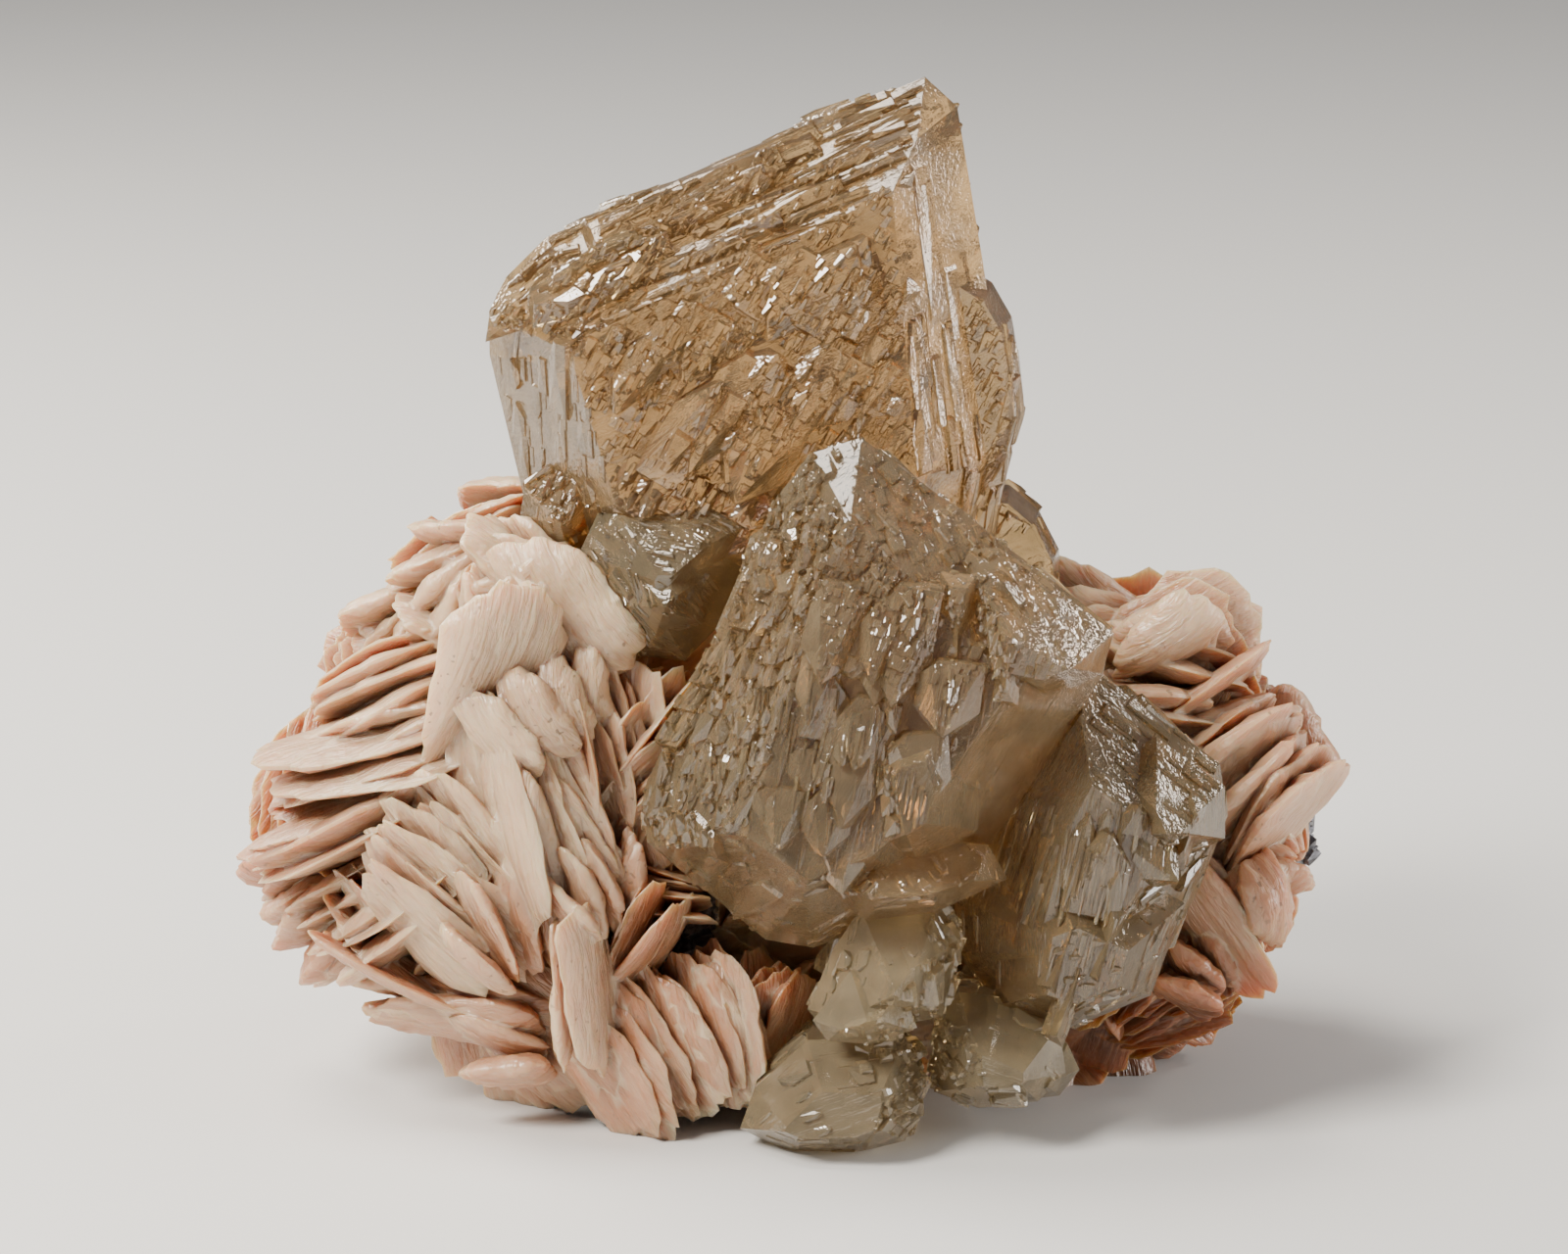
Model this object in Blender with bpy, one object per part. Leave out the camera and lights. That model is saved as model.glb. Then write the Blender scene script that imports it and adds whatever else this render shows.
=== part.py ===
"""Cerussite on barite: a hand-sized mineral specimen standing on its trimmed underside.

Smoky cerussite crystals grow out of a matrix of bladed, cockscomb barite that holds grains of galena.
Axes: +X to the right, -Y towards the viewer, +Z up. The origin lies on the flat underside.
Lengths in the tables are millimetres and angles are degrees.
"""

import math
import random
from collections import namedtuple

import bmesh
import bpy
from mathutils import Matrix, Vector
from mathutils.bvhtree import BVHTree

MM = 0.001
GAP = 0.3
BLOCK_BLANK = 200.0
BLADE_SIDES = 7
RIM_WOBBLE = 0.10
SIZE_WOBBLE = 0.12
TURN_WOBBLE = 4.0
LUMP_DETAIL = 2
GALENA_CUBES = 4
CORNER_WELD = 0.02

# A convex crystal block: its widest outline (x, z), the depth y of that outline and of its flat front and
# back faces, the lean of its side facets towards the front and the back, and the tilt of the front face.
Block = namedtuple("Block", "outline middle front back lean tilt", defaults=((25, 25), (0, 0)))

# Small parallel growths on a crystal's front: the (x, z) ends of the line they lie along, how far to each
# side of it they reach, how many there are, their size (length, width, height) and the heading of their
# long side in the picture plane.
Growth = namedtuple("Growth", "start end reach count size heading")

# A stack of barite blades: where its middle blade sits, the blades' turn, one blade's size (length, width,
# thickness), their number, their pitch along the blade's normal, the change of heading from one to the
# next, and the slip of each across its width. A turn is (heading in the picture plane, tilt of the head
# towards the viewer, roll about the long axis); a blade of roll 0 faces the viewer, one of 90 is edge on.
Fan = namedtuple("Fan", "at turn size count pitch spread slip", defaults=(1, 3.0, 5.0, 0.0))

UPPER_BLOCKS = (
    Block(((9.6, 83.7), (12.2, 81.3), (14.3, 69), (16.9, 52.9), (14, 41), (-12, 38), (-22.3, 46.8),
           (-25.5, 61), (-25.5, 64.6), (-24.1, 67.4), (-20.9, 70.6)),
          middle=-3, front=-13, back=9, lean=(36, 24), tilt=(0, 6)),
    Block(((10, 70), (15.2, 66.6), (16.8, 63.8), (17.3, 61), (17.8, 56.2), (17, 52.9), (13, 45), (8, 50)),
          middle=-1, front=-6, back=5, lean=(12, 12)),
    Block(((10, 50), (16.9, 49.1), (19.3, 47), (21, 43.7), (21.2, 40.4), (16, 36), (8, 38)),
          middle=2, front=-2, back=6, lean=(10, 10)),
    Block(((-22.6, 51), (-23, 48.4), (-21.6, 46.2), (-19.2, 45.4), (-17, 46.6), (-15, 51), (-18, 55)),
          middle=-7, front=-13, back=0, lean=(34, 20)),
    Block(((-17.4, 71.4), (-16.4, 73), (-9.5, 75), (-5.2, 76.2), (-5, 70), (-14, 66)),
          middle=-1, front=-5, back=6, lean=(20, 20)),
    Block(((-5.8, 75), (-5, 77), (1.1, 79.9), (4.6, 81.4), (4, 75), (-4, 70)),
          middle=-1, front=-5, back=6, lean=(20, 20)),
)
UPPER_GROWTHS = (
    Growth((-21, 62.5), (7, 76), 2.6, 10, (10, 2.4, 1.3), 24),
    Growth((-12, 55), (9, 64), 8, 9, (7.5, 2.8, 1.5), 62),
    Growth((13, 50), (15.5, 62), 2, 4, (6, 2.6, 1.6), 86),
)
FRONT_BLOCKS = (
    Block(((4.4, 57.6), (0.6, 56.4), (-1.9, 53.3), (-12.9, 28.4), (-12.6, 24.6), (-3.2, 16.5), (0.7, 15.8),
           (10, 19.5), (15, 24.6), (23.6, 38.4), (24.3, 42.3), (21.4, 44.6), (10.6, 52.9)),
          middle=-19, front=-28, back=-8, lean=(38, 20), tilt=(-3, 10)),
    Block(((12, 49), (15.2, 49.2), (21.4, 44.6), (24.3, 42.3), (23.4, 39), (19, 36.6), (11, 38)),
          middle=-21, front=-28.5, back=-12, lean=(26, 20), tilt=(12, 0)),
    Block(((2.5, 35), (5.5, 38), (12, 39), (14.2, 33), (13.6, 27), (9, 24), (3.4, 24.6)),
          middle=-24, front=-31, back=-14, lean=(32, 10), tilt=(4, 8)),
    Block(((0.8, 24.4), (5, 27), (14.5, 25.8), (16, 23), (10.4, 20.3), (5, 19.6), (2, 21.4)),
          middle=-24, front=-30, back=-14, lean=(30, 10), tilt=(0, -10)),
    Block(((-11.6, 30), (-6, 33), (-2, 28), (-3.6, 22), (-8, 20.8), (-12, 24.6)),
          middle=-20, front=-27, back=-12, lean=(34, 10), tilt=(-14, -6)),
)
FRONT_GROWTHS = (
    Growth((-9, 33), (1, 53), 1, 8, (6, 3.4, 1.4), 66),
    Growth((4, 46), (17, 42), 4, 6, (7, 3.6, 1.6), 100),
)
LOWER_BLOCKS = (
    Block(((20.5, 38.4), (23.1, 37.8), (33.3, 30), (34, 25.7), (32, 20), (28.2, 11.8), (21.9, 8.7),
           (14.8, 11), (12.1, 14.3), (11.6, 19.2), (15, 30)),
          middle=-15, front=-24.5, back=-4, lean=(34, 22), tilt=(6, 4)),
    Block(((24, 31), (28, 33), (33.5, 29), (33.6, 24.6), (28, 22), (24, 25)),
          middle=-18, front=-25.5, back=-10, lean=(30, 10), tilt=(8, 4)),
    Block(((15, 22), (22, 24.6), (30.4, 19.5), (27.8, 11.8), (21.8, 9.2), (15.4, 11)),
          middle=-19, front=-26, back=-10, lean=(30, 10), tilt=(2, -10)),
)
LOWER_GROWTHS = (Growth((17, 15), (29, 29), 4, 7, (8, 2.8, 1.2), 80),)
SIDE_BLOCKS = (
    Block(((-18, 46.8), (-17.3, 43.2), (-15.3, 40.3), (-13.2, 38.2), (-9.6, 37.8), (-6.2, 41.4),
           (-4.2, 45.6), (-2.4, 50.4), (-7, 53), (-15.6, 52)),
          middle=-12, front=-19, back=-2, lean=(40, 20), tilt=(-6, -4)),
    Block(((-14.5, 47), (-10, 48.6), (-7, 46), (-8, 41.6), (-12, 40.4), (-14.6, 43)),
          middle=-15, front=-20.5, back=-6, lean=(32, 10), tilt=(-4, 10)),
)
FOOT_TIP_BLOCKS = (
    Block(((0.2, 11.6), (2.2, 16.5), (4.4, 20), (10.7, 20.3), (12.4, 17.3), (11, 11), (4.5, 9.6), (1.6, 9.8)),
          middle=-22, front=-29, back=-10, lean=(34, 10), tilt=(-6, 6)),
    Block(((0.6, 11.6), (3.6, 15.8), (8.2, 15), (8.6, 10.8), (4.6, 9.7), (1.8, 9.9)),
          middle=-25, front=-30, back=-14, lean=(38, 10), tilt=(-10, 4)),
)
FOOT_LEFT_BLOCKS = (
    Block(((-5.2, 1.6), (-4, 5), (0.2, 9), (8, 9.4), (9.4, 6), (8.6, 1), (4.6, -0.6), (-1, -0.6)),
          middle=-22, front=-27.5, back=-8, lean=(30, 8), tilt=(-8, 12)),
    Block(((3.6, 5.2), (7.4, 6.6), (9.2, 4.4), (8, 1.2), (4.8, 0.4), (3, 2.4)),
          middle=-24, front=-28.5, back=-14, lean=(34, 10)),
)
FOOT_RIGHT_BLOCKS = (
    Block(((10.8, 10.4), (12.3, 12.4), (15.6, 12), (20.4, 9.6), (21, 5.6), (18.8, 3.2), (14, 2.6), (10.4, 4)),
          middle=-20, front=-25.5, back=-6, lean=(32, 8), tilt=(4, 10)),
    Block(((17.6, 8), (21.2, 7.4), (22.2, 5.2), (20.6, 3), (17.4, 2.6)),
          middle=-18, front=-22, back=-10, lean=(30, 8)),
)

# Each crystal node, with the crystals that grew before it and so cut into it.
CRYSTALS = (
    ("front_cerussite", FRONT_BLOCKS, FRONT_GROWTHS, ()),
    ("upper_cerussite", UPPER_BLOCKS, UPPER_GROWTHS, ("front_cerussite",)),
    ("lower_cerussite", LOWER_BLOCKS, LOWER_GROWTHS, ("front_cerussite",)),
    ("side_cerussite", SIDE_BLOCKS, (), ("front_cerussite", "upper_cerussite")),
    ("foot_cerussite_tip", FOOT_TIP_BLOCKS, (), ("front_cerussite", "lower_cerussite")),
    ("foot_cerussite_left", FOOT_LEFT_BLOCKS, (), ("foot_cerussite_tip", "lower_cerussite")),
    ("foot_cerussite_right", FOOT_RIGHT_BLOCKS, (),
     ("foot_cerussite_tip", "foot_cerussite_left", "lower_cerussite")),
)

# Galena grains, each a cluster of small cubes: centre, reach of the cluster, and edge of a cube.
GALENA = (
    ("galena_left", (-11.2, -11, 14.5), (5, 3, 4.2), 3.4),
    ("galena_right", (40.4, 1, 19.9), (1.4, 2.4, 3.4), 2.8),
)

# The matrix under the blades: centre and radii of each rounded lump.
LUMPS = (
    ((-25, 5, 25), (14, 15, 18)),
    ((-16, 4, 9), (12, 15, 12)),
    ((-1, 7, 22), (20, 15, 21)),
    ((28, 6, 21), (11, 13, 16)),
    ((22, 6, 8), (11, 13, 11)),
    ((0, 8, 4), (25, 17, 8)),
)

FANS = {
    "left_drapes": Fan((-33.2, -10, 22.5), (30, 0, 82), (22, 16, 4.4), 5, 3.6, 7),
    "left_terraces": Fan((-32, -7, 32), (24, 0, 70), (18, 15, 4.6), 3, 3.6, 3),
    "left_outer": Fan((-38.8, -2, 24), (62, -20, 30), (15, 12, 4), 2, 3.4, 12),
    "left_lower_outer": Fan((-38.2, -5, 15.6), (26, 0, 62), (15, 12, 4.2), 3, 3.4, 8),
    "feathers": Fan((-25.5, -17, 22.7), (-58, 0, 38), (18, 9, 3.2), 5, 2.3, 5, -1.9),
    "big_leaf": Fan((-22.3, -18, 25), (-80, 4, 30), (24, 10, 3.4), 2, 2.6, 4, -2),
    "centre_leaves": Fan((-18, -14, 29), (-82, 0, 42), (22, 11, 3.6), 3, 3.2, 6, -1.2),
    "recess_blades": Fan((-31, -13, 16.5), (-46, 0, 78), (15, 9, 1.8), 4, 3.2, 9),
    "sill": Fan((-27, -13, 9.4), (-8, 10, 40), (15, 10, 3.6), 2, 2.6, 8),
    "lobes": Fan((-22, -13, 6), (-58, 0, 12), (13, 10, 3), 3, 2, 14, 3),
    "standing_leaf": Fan((-18.2, -21, 13), (88, 0, 60), (14.5, 7, 2.4)),
    "leaning_blades": Fan((-15, -16, 16.5), (62, 0, 66), (12, 7, 1.7), 3, 2.8, -8),
    "pink_plates": Fan((-11.5, -18, 7.6), (-66, 6, 24), (16, 10, 3.4), 3, 2.8, 7, -2.8),
    "scalloped_plate": Fan((-7.4, -17, 8.2), (-82, 0, 30), (14, 8, 3)),
    "side_laths": Fan((-13.6, -12, 30), (58, 0, 62), (17, 9, 2.6), 3, 3.2, -8),
    "recess_laths": Fan((-12.6, -13, 20.4), (-12, 10, 70), (11, 8, 1.6), 3, 2.8, 12),
    "hidden_blades": Fan((-3, -13, 7.4), (76, 0, 50), (13, 8, 2.6), 2, 2.2, -9),
    "upper_ridge": Fan((-24.5, -13, 38), (62, 6, 30), (19, 12, 6), 2, 4, 10, 3),
    "upper_left_crests": Fan((-29.6, -3, 36.6), (64, 0, 62), (14, 11, 4.4), 3, 4, 16),
    "crown_plates": Fan((-24.6, 2, 45.4), (14, 0, 62), (11, 12, 4), 2, 3.2, 10),
    "cavity_rim": Fan((-28, -2, 42), (50, 0, 40), (11, 9, 4), 2, 3.6, 26),
    "smooth_lobes": Fan((-19, -11, 41), (-60, 0, 20), (14, 11, 4.4), 2, 3.6, 14, 3),
    "left_spikes": Fan((-34, -1, 35), (150, 0, 60), (9, 7, 2.6), 3, 3.4, 14),
    "right_crown": Fan((31, 3, 35.2), (20, 0, 8), (14.5, 11, 3.8), 2, 3, 18, 2),
    "right_shoulder": Fan((23.4, 3, 36.6), (-30, 0, 20), (12, 9, 3.6), 2, 2.8, 14),
    "right_layers": Fan((28.5, -2, 31), (-10, 0, 66), (17, 15, 4), 3, 3.8, 5),
    "right_diagonals": Fan((34.6, -5, 26.5), (42, 0, 62), (16, 12, 3.8), 4, 3.5, 5),
    "right_wall": Fan((38.6, 2, 26.5), (-58, 0, 40), (13, 12, 4), 2, 3.6, 12),
    "right_wall_low": Fan((36.8, 2, 15.5), (-84, 0, 34), (15, 11, 4), 2, 3.6, 10),
    "orange_plates": Fan((33.6, -5, 15.5), (-70, 0, 22), (16, 11, 3.6), 3, 3.2, 12, 2.8),
    "right_foot_laths": Fan((29.6, -5, 9.4), (-150, 0, 62), (14, 10, 3), 4, 2.8, 10),
    "rusty_blades": Fan((25, -1, 4.4), (-120, 0, 60), (9, 7, 2.4), 3, 2.6, 16),
    "back_left_high": Fan((-24, 15, 33), (70, 0, 140), (18, 13, 5), 3, 4.2, 12),
    "back_left_low": Fan((-26, 17, 14), (20, 0, 110), (19, 14, 5), 3, 4.2, 12),
    "back_left_side": Fan((-32, 10, 22), (80, 0, 120), (17, 13, 5), 2, 4.2, 14),
    "back_crown": Fan((-11, 14, 38), (10, 0, 120), (17, 12, 5), 2, 4.2, 12),
    "back_middle": Fan((-8, 21, 24), (-50, 0, 112), (19, 13, 5), 3, 4.2, 12),
    "back_foot": Fan((-4, 20, 9), (14, 0, 100), (18, 12, 5), 2, 4.2, 12),
    "back_centre_right": Fan((10, 19, 30), (48, 0, 118), (18, 13, 5), 3, 4.2, 12),
    "back_right_high": Fan((26, 15, 28), (-20, 0, 130), (16, 12, 5), 3, 4.2, 12),
    "back_right_low": Fan((24, 17, 11), (70, 0, 116), (16, 12, 5), 2, 4.2, 12),
}

COLOURS = {
    "barite": ((0.78, 0.60, 0.47), 0.45, 0.0),
    "cerussite": ((0.36, 0.26, 0.15), 0.12, 0.0),
    "galena": ((0.10, 0.10, 0.11), 0.35, 0.9),
}


def clear_scene():
    for obj in list(bpy.data.objects):
        bpy.data.objects.remove(obj)


def material(name):
    """The Principled material of that name, made once."""
    made = bpy.data.materials.get(name) or bpy.data.materials.new(name)
    made.use_nodes = True
    colour, roughness, metallic = COLOURS[name]
    shader = made.node_tree.nodes["Principled BSDF"]
    shader.inputs["Base Color"].default_value = (*colour, 1)
    shader.inputs["Roughness"].default_value = roughness
    shader.inputs["Metallic"].default_value = metallic
    return made


def new_object(name, shape, finish):
    """An object from a bmesh whose numbers are millimetres."""
    shape.transform(Matrix.Scale(MM, 4))
    bmesh.ops.recalc_face_normals(shape, faces=shape.faces)
    mesh = bpy.data.meshes.new(name)
    shape.to_mesh(mesh)
    shape.free()
    mesh.materials.append(material(finish))
    obj = bpy.data.objects.new(name, mesh)
    bpy.context.scene.collection.objects.link(obj)
    return obj


def facet(shape, point, normal):
    """Cuts a flat facet: everything beyond the plane is removed and the cut is closed."""
    geometry = shape.verts[:] + shape.edges[:] + shape.faces[:]
    bmesh.ops.bisect_plane(shape, geom=geometry, plane_co=point, plane_no=normal, clear_outer=True)
    rim = [edge for edge in shape.edges if edge.is_boundary]
    if rim:
        bmesh.ops.holes_fill(shape, edges=rim)


def crystal_block(name, block, grow=0.0):
    """A convex crystal: a cube blank with a facet cut for each side of the outline, front and back."""
    corners = [Vector((x, block.middle, z)) for x, z in block.outline]
    centre = sum(corners, Vector()) / len(corners)
    shape = bmesh.new()
    bmesh.ops.create_cube(shape, size=BLOCK_BLANK, matrix=Matrix.Translation(centre))
    for corner, following in zip(corners, corners[1:] + corners[:1]):
        side = following - corner
        outward = Vector((side.z, 0, -side.x)).normalized()
        if outward.dot(corner - centre) < 0:
            outward.negate()
        for lean, towards in zip(block.lean, (-1, 1)):
            angle = math.radians(lean)
            normal = outward * math.cos(angle) + Vector((0, towards * math.sin(angle), 0))
            facet(shape, corner + normal * grow, normal)
    yaw, pitch = (math.radians(angle) for angle in block.tilt)
    forward = Vector((math.sin(yaw), -math.cos(yaw) * math.cos(pitch), math.sin(pitch))).normalized()
    facet(shape, Vector((centre.x, block.front, centre.z)) + forward * grow, forward)
    facet(shape, Vector((centre.x, block.back + grow, centre.z)), Vector((0, 1, 0)))
    bmesh.ops.remove_doubles(shape, verts=shape.verts, dist=CORNER_WELD)
    bmesh.ops.dissolve_degenerate(shape, edges=shape.edges, dist=CORNER_WELD)
    bmesh.ops.triangulate(shape, faces=shape.faces)
    return new_object(name, shape, "cerussite")


def growth_blocks(growth, surface, dice):
    """The small parallel blocks of one growth, as flat-topped laths half sunk in the face under them."""
    length, width, height = growth.size
    start, end = Vector(growth.start), Vector(growth.end)
    aside = (end - start).normalized().orthogonal()
    heading = math.radians(growth.heading)
    along = Vector((math.cos(heading), math.sin(heading)))
    across = along.orthogonal()
    for i in range(growth.count):
        place = start.lerp(end, (i + 0.5) / growth.count) + aside * dice.uniform(-1, 1) * growth.reach
        found, normal, *_ = surface.ray_cast(Vector((place.x, -BLOCK_BLANK, place.y)) * MM, Vector((0, 1, 0)))
        scale = dice.uniform(0.65, 1.2)
        half_length, half_width = length * scale / 2, width * scale / 2
        corners = ((half_length, half_width * 0.3), (-half_length * 0.8, half_width),
                   (-half_length, -half_width * 0.3), (half_length * 0.8, -half_width))
        outline = [tuple(place + along * a + across * b) for a, b in corners]
        depth = found.y / MM
        pitch = math.degrees(math.atan2(normal.z, -normal.y)) * 0.6
        yield Block(outline, middle=depth + height, front=depth - height * dice.uniform(0.5, 0.9),
                    back=depth + 4 * height, lean=(28, 10), tilt=(0, pitch))


def turn_matrix(heading, tilt, roll):
    """Turns a blade whose long axis is +X and whose normal is -Y."""
    return (Matrix.Rotation(math.radians(-heading), 3, "Y")
            @ Matrix.Rotation(math.radians(-tilt), 3, "Z")
            @ Matrix.Rotation(math.radians(roll), 3, "X"))


def blade_placements(fan, dice):
    """(place, rotation, size) of each blade in a fan."""
    length, width, thickness = fan.size
    heading, tilt, roll = fan.turn
    for i in range(fan.count):
        step = i - (fan.count - 1) / 2
        turn = turn_matrix(heading + fan.spread * step, tilt + dice.uniform(-1, 1) * TURN_WOBBLE,
                           roll + dice.uniform(-1, 1) * TURN_WOBBLE)
        normal = turn @ Vector((0, -1, 0))
        across = turn @ Vector((0, 0, 1))
        place = Vector(fan.at) + normal * fan.pitch * step + across * fan.slip * step
        scale = 1 + dice.uniform(-1, 1) * SIZE_WOBBLE
        yield place, turn, (length * scale, width * scale, thickness)


def blade(name, place, turn, size, dice):
    """A lens-shaped plate with a sharp, slightly uneven rim."""
    shape = bmesh.new()
    bmesh.ops.create_uvsphere(shape, u_segments=BLADE_SIDES, v_segments=2, radius=0.5)
    bmesh.ops.rotate(shape, verts=shape.verts, matrix=Matrix.Rotation(math.pi / 2, 3, "X"))
    for vert in shape.verts:
        if abs(vert.co.y) < 0.01:
            vert.co *= 1 + dice.uniform(-1, 1) * RIM_WOBBLE
    length, width, thickness = size
    bmesh.ops.scale(shape, verts=shape.verts, vec=(length, thickness, width))
    shape.transform(Matrix.Translation(place) @ turn.to_4x4())
    return new_object(name, shape, "barite")


def lump(name, centre, radii):
    shape = bmesh.new()
    bmesh.ops.create_icosphere(shape, subdivisions=LUMP_DETAIL, radius=1)
    bmesh.ops.scale(shape, verts=shape.verts, vec=radii)
    bmesh.ops.translate(shape, verts=shape.verts, vec=centre)
    return new_object(name, shape, "barite")


def cube_grain(name, centre, edge, dice):
    shape = bmesh.new()
    bmesh.ops.create_cube(shape, size=edge)
    turn = Matrix.Rotation(dice.uniform(0.2, 1.2), 4, "X") @ Matrix.Rotation(dice.uniform(0, 1.5), 4, "Z")
    shape.transform(Matrix.Translation(centre) @ turn)
    return new_object(name, shape, "galena")


def galena_grains(name, centre, reach, edge, grow=0.0):
    """Overlapping cubes strung through the grain's reach. They are the same cubes for every grow."""
    dice = random.Random(name)
    grains = []
    for i in range(GALENA_CUBES):
        offset = Vector([dice.uniform(-0.5, 0.5) * side for side in reach])
        grains.append(cube_grain(f"{name}_grain_{i}", Vector(centre) + offset, edge + 2 * grow, dice))
    return grains


def underside_cutter():
    """A slab whose top is the flat that the specimen stands on."""
    shape = bmesh.new()
    bmesh.ops.create_cube(shape, size=1)
    bmesh.ops.scale(shape, verts=shape.verts, vec=(BLOCK_BLANK, BLOCK_BLANK, BLOCK_BLANK / 2))
    bmesh.ops.translate(shape, verts=shape.verts, vec=(0, 0, -BLOCK_BLANK / 4))
    return new_object("underside", shape, "barite")


def boolean(target, operation, tools):
    """Applies one exact Boolean of all the tools to the target, and removes the tools."""
    holder = bpy.data.collections.new("tools")
    for tool in tools:
        holder.objects.link(tool)
    modifier = target.modifiers.new(operation, "BOOLEAN")
    modifier.operation = operation
    modifier.operand_type = "COLLECTION"
    modifier.collection = holder
    modifier.solver = "EXACT"
    graph = bpy.context.evaluated_depsgraph_get()
    target.data = bpy.data.meshes.new_from_object(target.evaluated_get(graph))
    target.modifiers.clear()
    for tool in tools:
        bpy.data.objects.remove(tool)
    bpy.data.collections.remove(holder)


def surface_tree(obj):
    """The object's surface, ready to be met by a ray."""
    shape = bmesh.new()
    shape.from_mesh(obj.data)
    tree = BVHTree.FromBMesh(shape)
    shape.free()
    return tree


def island_of(start):
    """The verts joined to this one by edges."""
    found = {start}
    waiting = [start]
    while waiting:
        for edge in waiting.pop().link_edges:
            for vert in edge.verts:
                if vert not in found:
                    found.add(vert)
                    waiting.append(vert)
    return found


def keep_largest_island(obj):
    """Removes the chips that a cut leaves behind."""
    shape = bmesh.new()
    shape.from_mesh(obj.data)
    left = set(shape.verts)
    islands = []
    while left:
        island = island_of(next(iter(left)))
        islands.append(island)
        left -= island
    islands.sort(key=len)
    for island in islands[:-1]:
        bmesh.ops.delete(shape, geom=list(island), context="VERTS")
    shape.to_mesh(obj.data)
    shape.free()


def crystal_cutter(blocks):
    """One crystal, grown by the gap that its neighbours keep from it."""
    first, *others = (crystal_block("cutter", block, GAP) for block in blocks)
    if others:
        boolean(first, "UNION", others)
    return first


def build_crystals():
    """All crystal nodes, each cut by the crystals that grew before it. Returns every node's blocks."""
    blocks = {}
    for name, base, growths, earlier in CRYSTALS:
        node = crystal_block(name, base[0])
        boolean(node, "UNION", [crystal_block(name, block) for block in base[1:]])
        surface = surface_tree(node)
        dice = random.Random(name)
        grown = [block for growth in growths for block in growth_blocks(growth, surface, dice)]
        if grown:
            boolean(node, "UNION", [crystal_block(name, block) for block in grown])
        blocks[name] = [*base, *grown]
        for other in earlier:
            boolean(node, "DIFFERENCE", [crystal_cutter(blocks[other])])
        if name.startswith("foot"):
            boolean(node, "DIFFERENCE", [underside_cutter()])
        keep_largest_island(node)
    return blocks


def build_galena():
    """The galena grains."""
    for name, centre, reach, edge in GALENA:
        first, *others = galena_grains(name, centre, reach, edge)
        first.name = name
        boolean(first, "UNION", others)
        keep_largest_island(first)


def barite_pieces():
    """The lumps and blades that the matrix is fused from."""
    pieces = [lump(f"lump_{i}", centre, radii) for i, (centre, radii) in enumerate(LUMPS)]
    for name, fan in FANS.items():
        dice = random.Random(name)
        for i, (place, turn, size) in enumerate(blade_placements(fan, dice)):
            pieces.append(blade(f"{name}_{i}", place, turn, size, dice))
    return pieces


def build_barite(blocks):
    """The matrix, trimmed flat below and hollowed where crystals and galena sit."""
    matrix, *pieces = barite_pieces()
    matrix.name = "barite_matrix"
    boolean(matrix, "UNION", pieces)
    boolean(matrix, "DIFFERENCE", [underside_cutter()])
    for crystal in blocks.values():
        boolean(matrix, "DIFFERENCE", [crystal_cutter(crystal)])
    for name, centre, reach, edge in GALENA:
        first, *others = galena_grains(name, centre, reach, edge, GAP)
        boolean(first, "UNION", others)
        boolean(matrix, "DIFFERENCE", [first])
    keep_largest_island(matrix)
    return matrix


def main():
    clear_scene()
    blocks = build_crystals()
    build_galena()
    build_barite(blocks)


if __name__ == "__main__":
    main()
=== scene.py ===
"""Cerussite on barite: the visible surfaces of the specimen, laid out as an add-on.

Each cerussite crystal is its solid with hundreds of small parallel growths fused on. The barite is built
from fans of fluted, layered blades, fused in three parts. Lengths in the tables are millimetres in the
frame's axes: +X to the right, -Y towards the viewer, +Z up.
"""

import math
import random
from collections import namedtuple

import bmesh
import bpy
import numpy as np
from bpy.props import FloatProperty, FloatVectorProperty, PointerProperty
from mathutils import Matrix, Vector
from mathutils.bvhtree import BVHTree


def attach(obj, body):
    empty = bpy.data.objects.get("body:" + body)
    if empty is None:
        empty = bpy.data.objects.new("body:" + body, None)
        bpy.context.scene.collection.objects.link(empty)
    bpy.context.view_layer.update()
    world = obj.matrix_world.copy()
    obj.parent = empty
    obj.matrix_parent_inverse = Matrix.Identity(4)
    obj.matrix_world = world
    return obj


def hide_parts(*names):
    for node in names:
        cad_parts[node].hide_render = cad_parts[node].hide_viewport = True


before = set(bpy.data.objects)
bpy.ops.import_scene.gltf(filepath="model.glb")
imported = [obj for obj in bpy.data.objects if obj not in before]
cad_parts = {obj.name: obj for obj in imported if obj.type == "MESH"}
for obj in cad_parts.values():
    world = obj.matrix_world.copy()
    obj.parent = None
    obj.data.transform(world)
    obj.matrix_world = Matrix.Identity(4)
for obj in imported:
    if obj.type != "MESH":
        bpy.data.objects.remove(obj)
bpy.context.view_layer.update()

bl_info = {
    "name": "Cerussite on Barite",
    "version": (1, 0, 0),
    "blender": (4, 5, 0),
    "location": "View3D > Sidebar > Specimen",
    "description": "Builds the crystals, the bladed matrix and the studio of a mineral specimen",
    "category": "Object",
}

MM = 0.001
MERGE = 0.001 * MM
OVERHANG = 0.22
WHOLE_TURN = 2 * math.pi

# A stack of barite blades: middle, turn (heading in the picture plane, tilt of the head towards the viewer,
# roll about the long axis), size (length, width, thickness), number, pitch along the normal, change of
# heading and sideways slip from one to the next, stain (0 white, 1 pink, 2 orange, 3 rust), depth of the
# flutes, and how many sheets each blade of the stack is split into.
Fan = namedtuple("Fan", "at turn size count pitch spread slip stain flute sheets", defaults=(0.0, 0.8, 1.0, 2))

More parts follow.
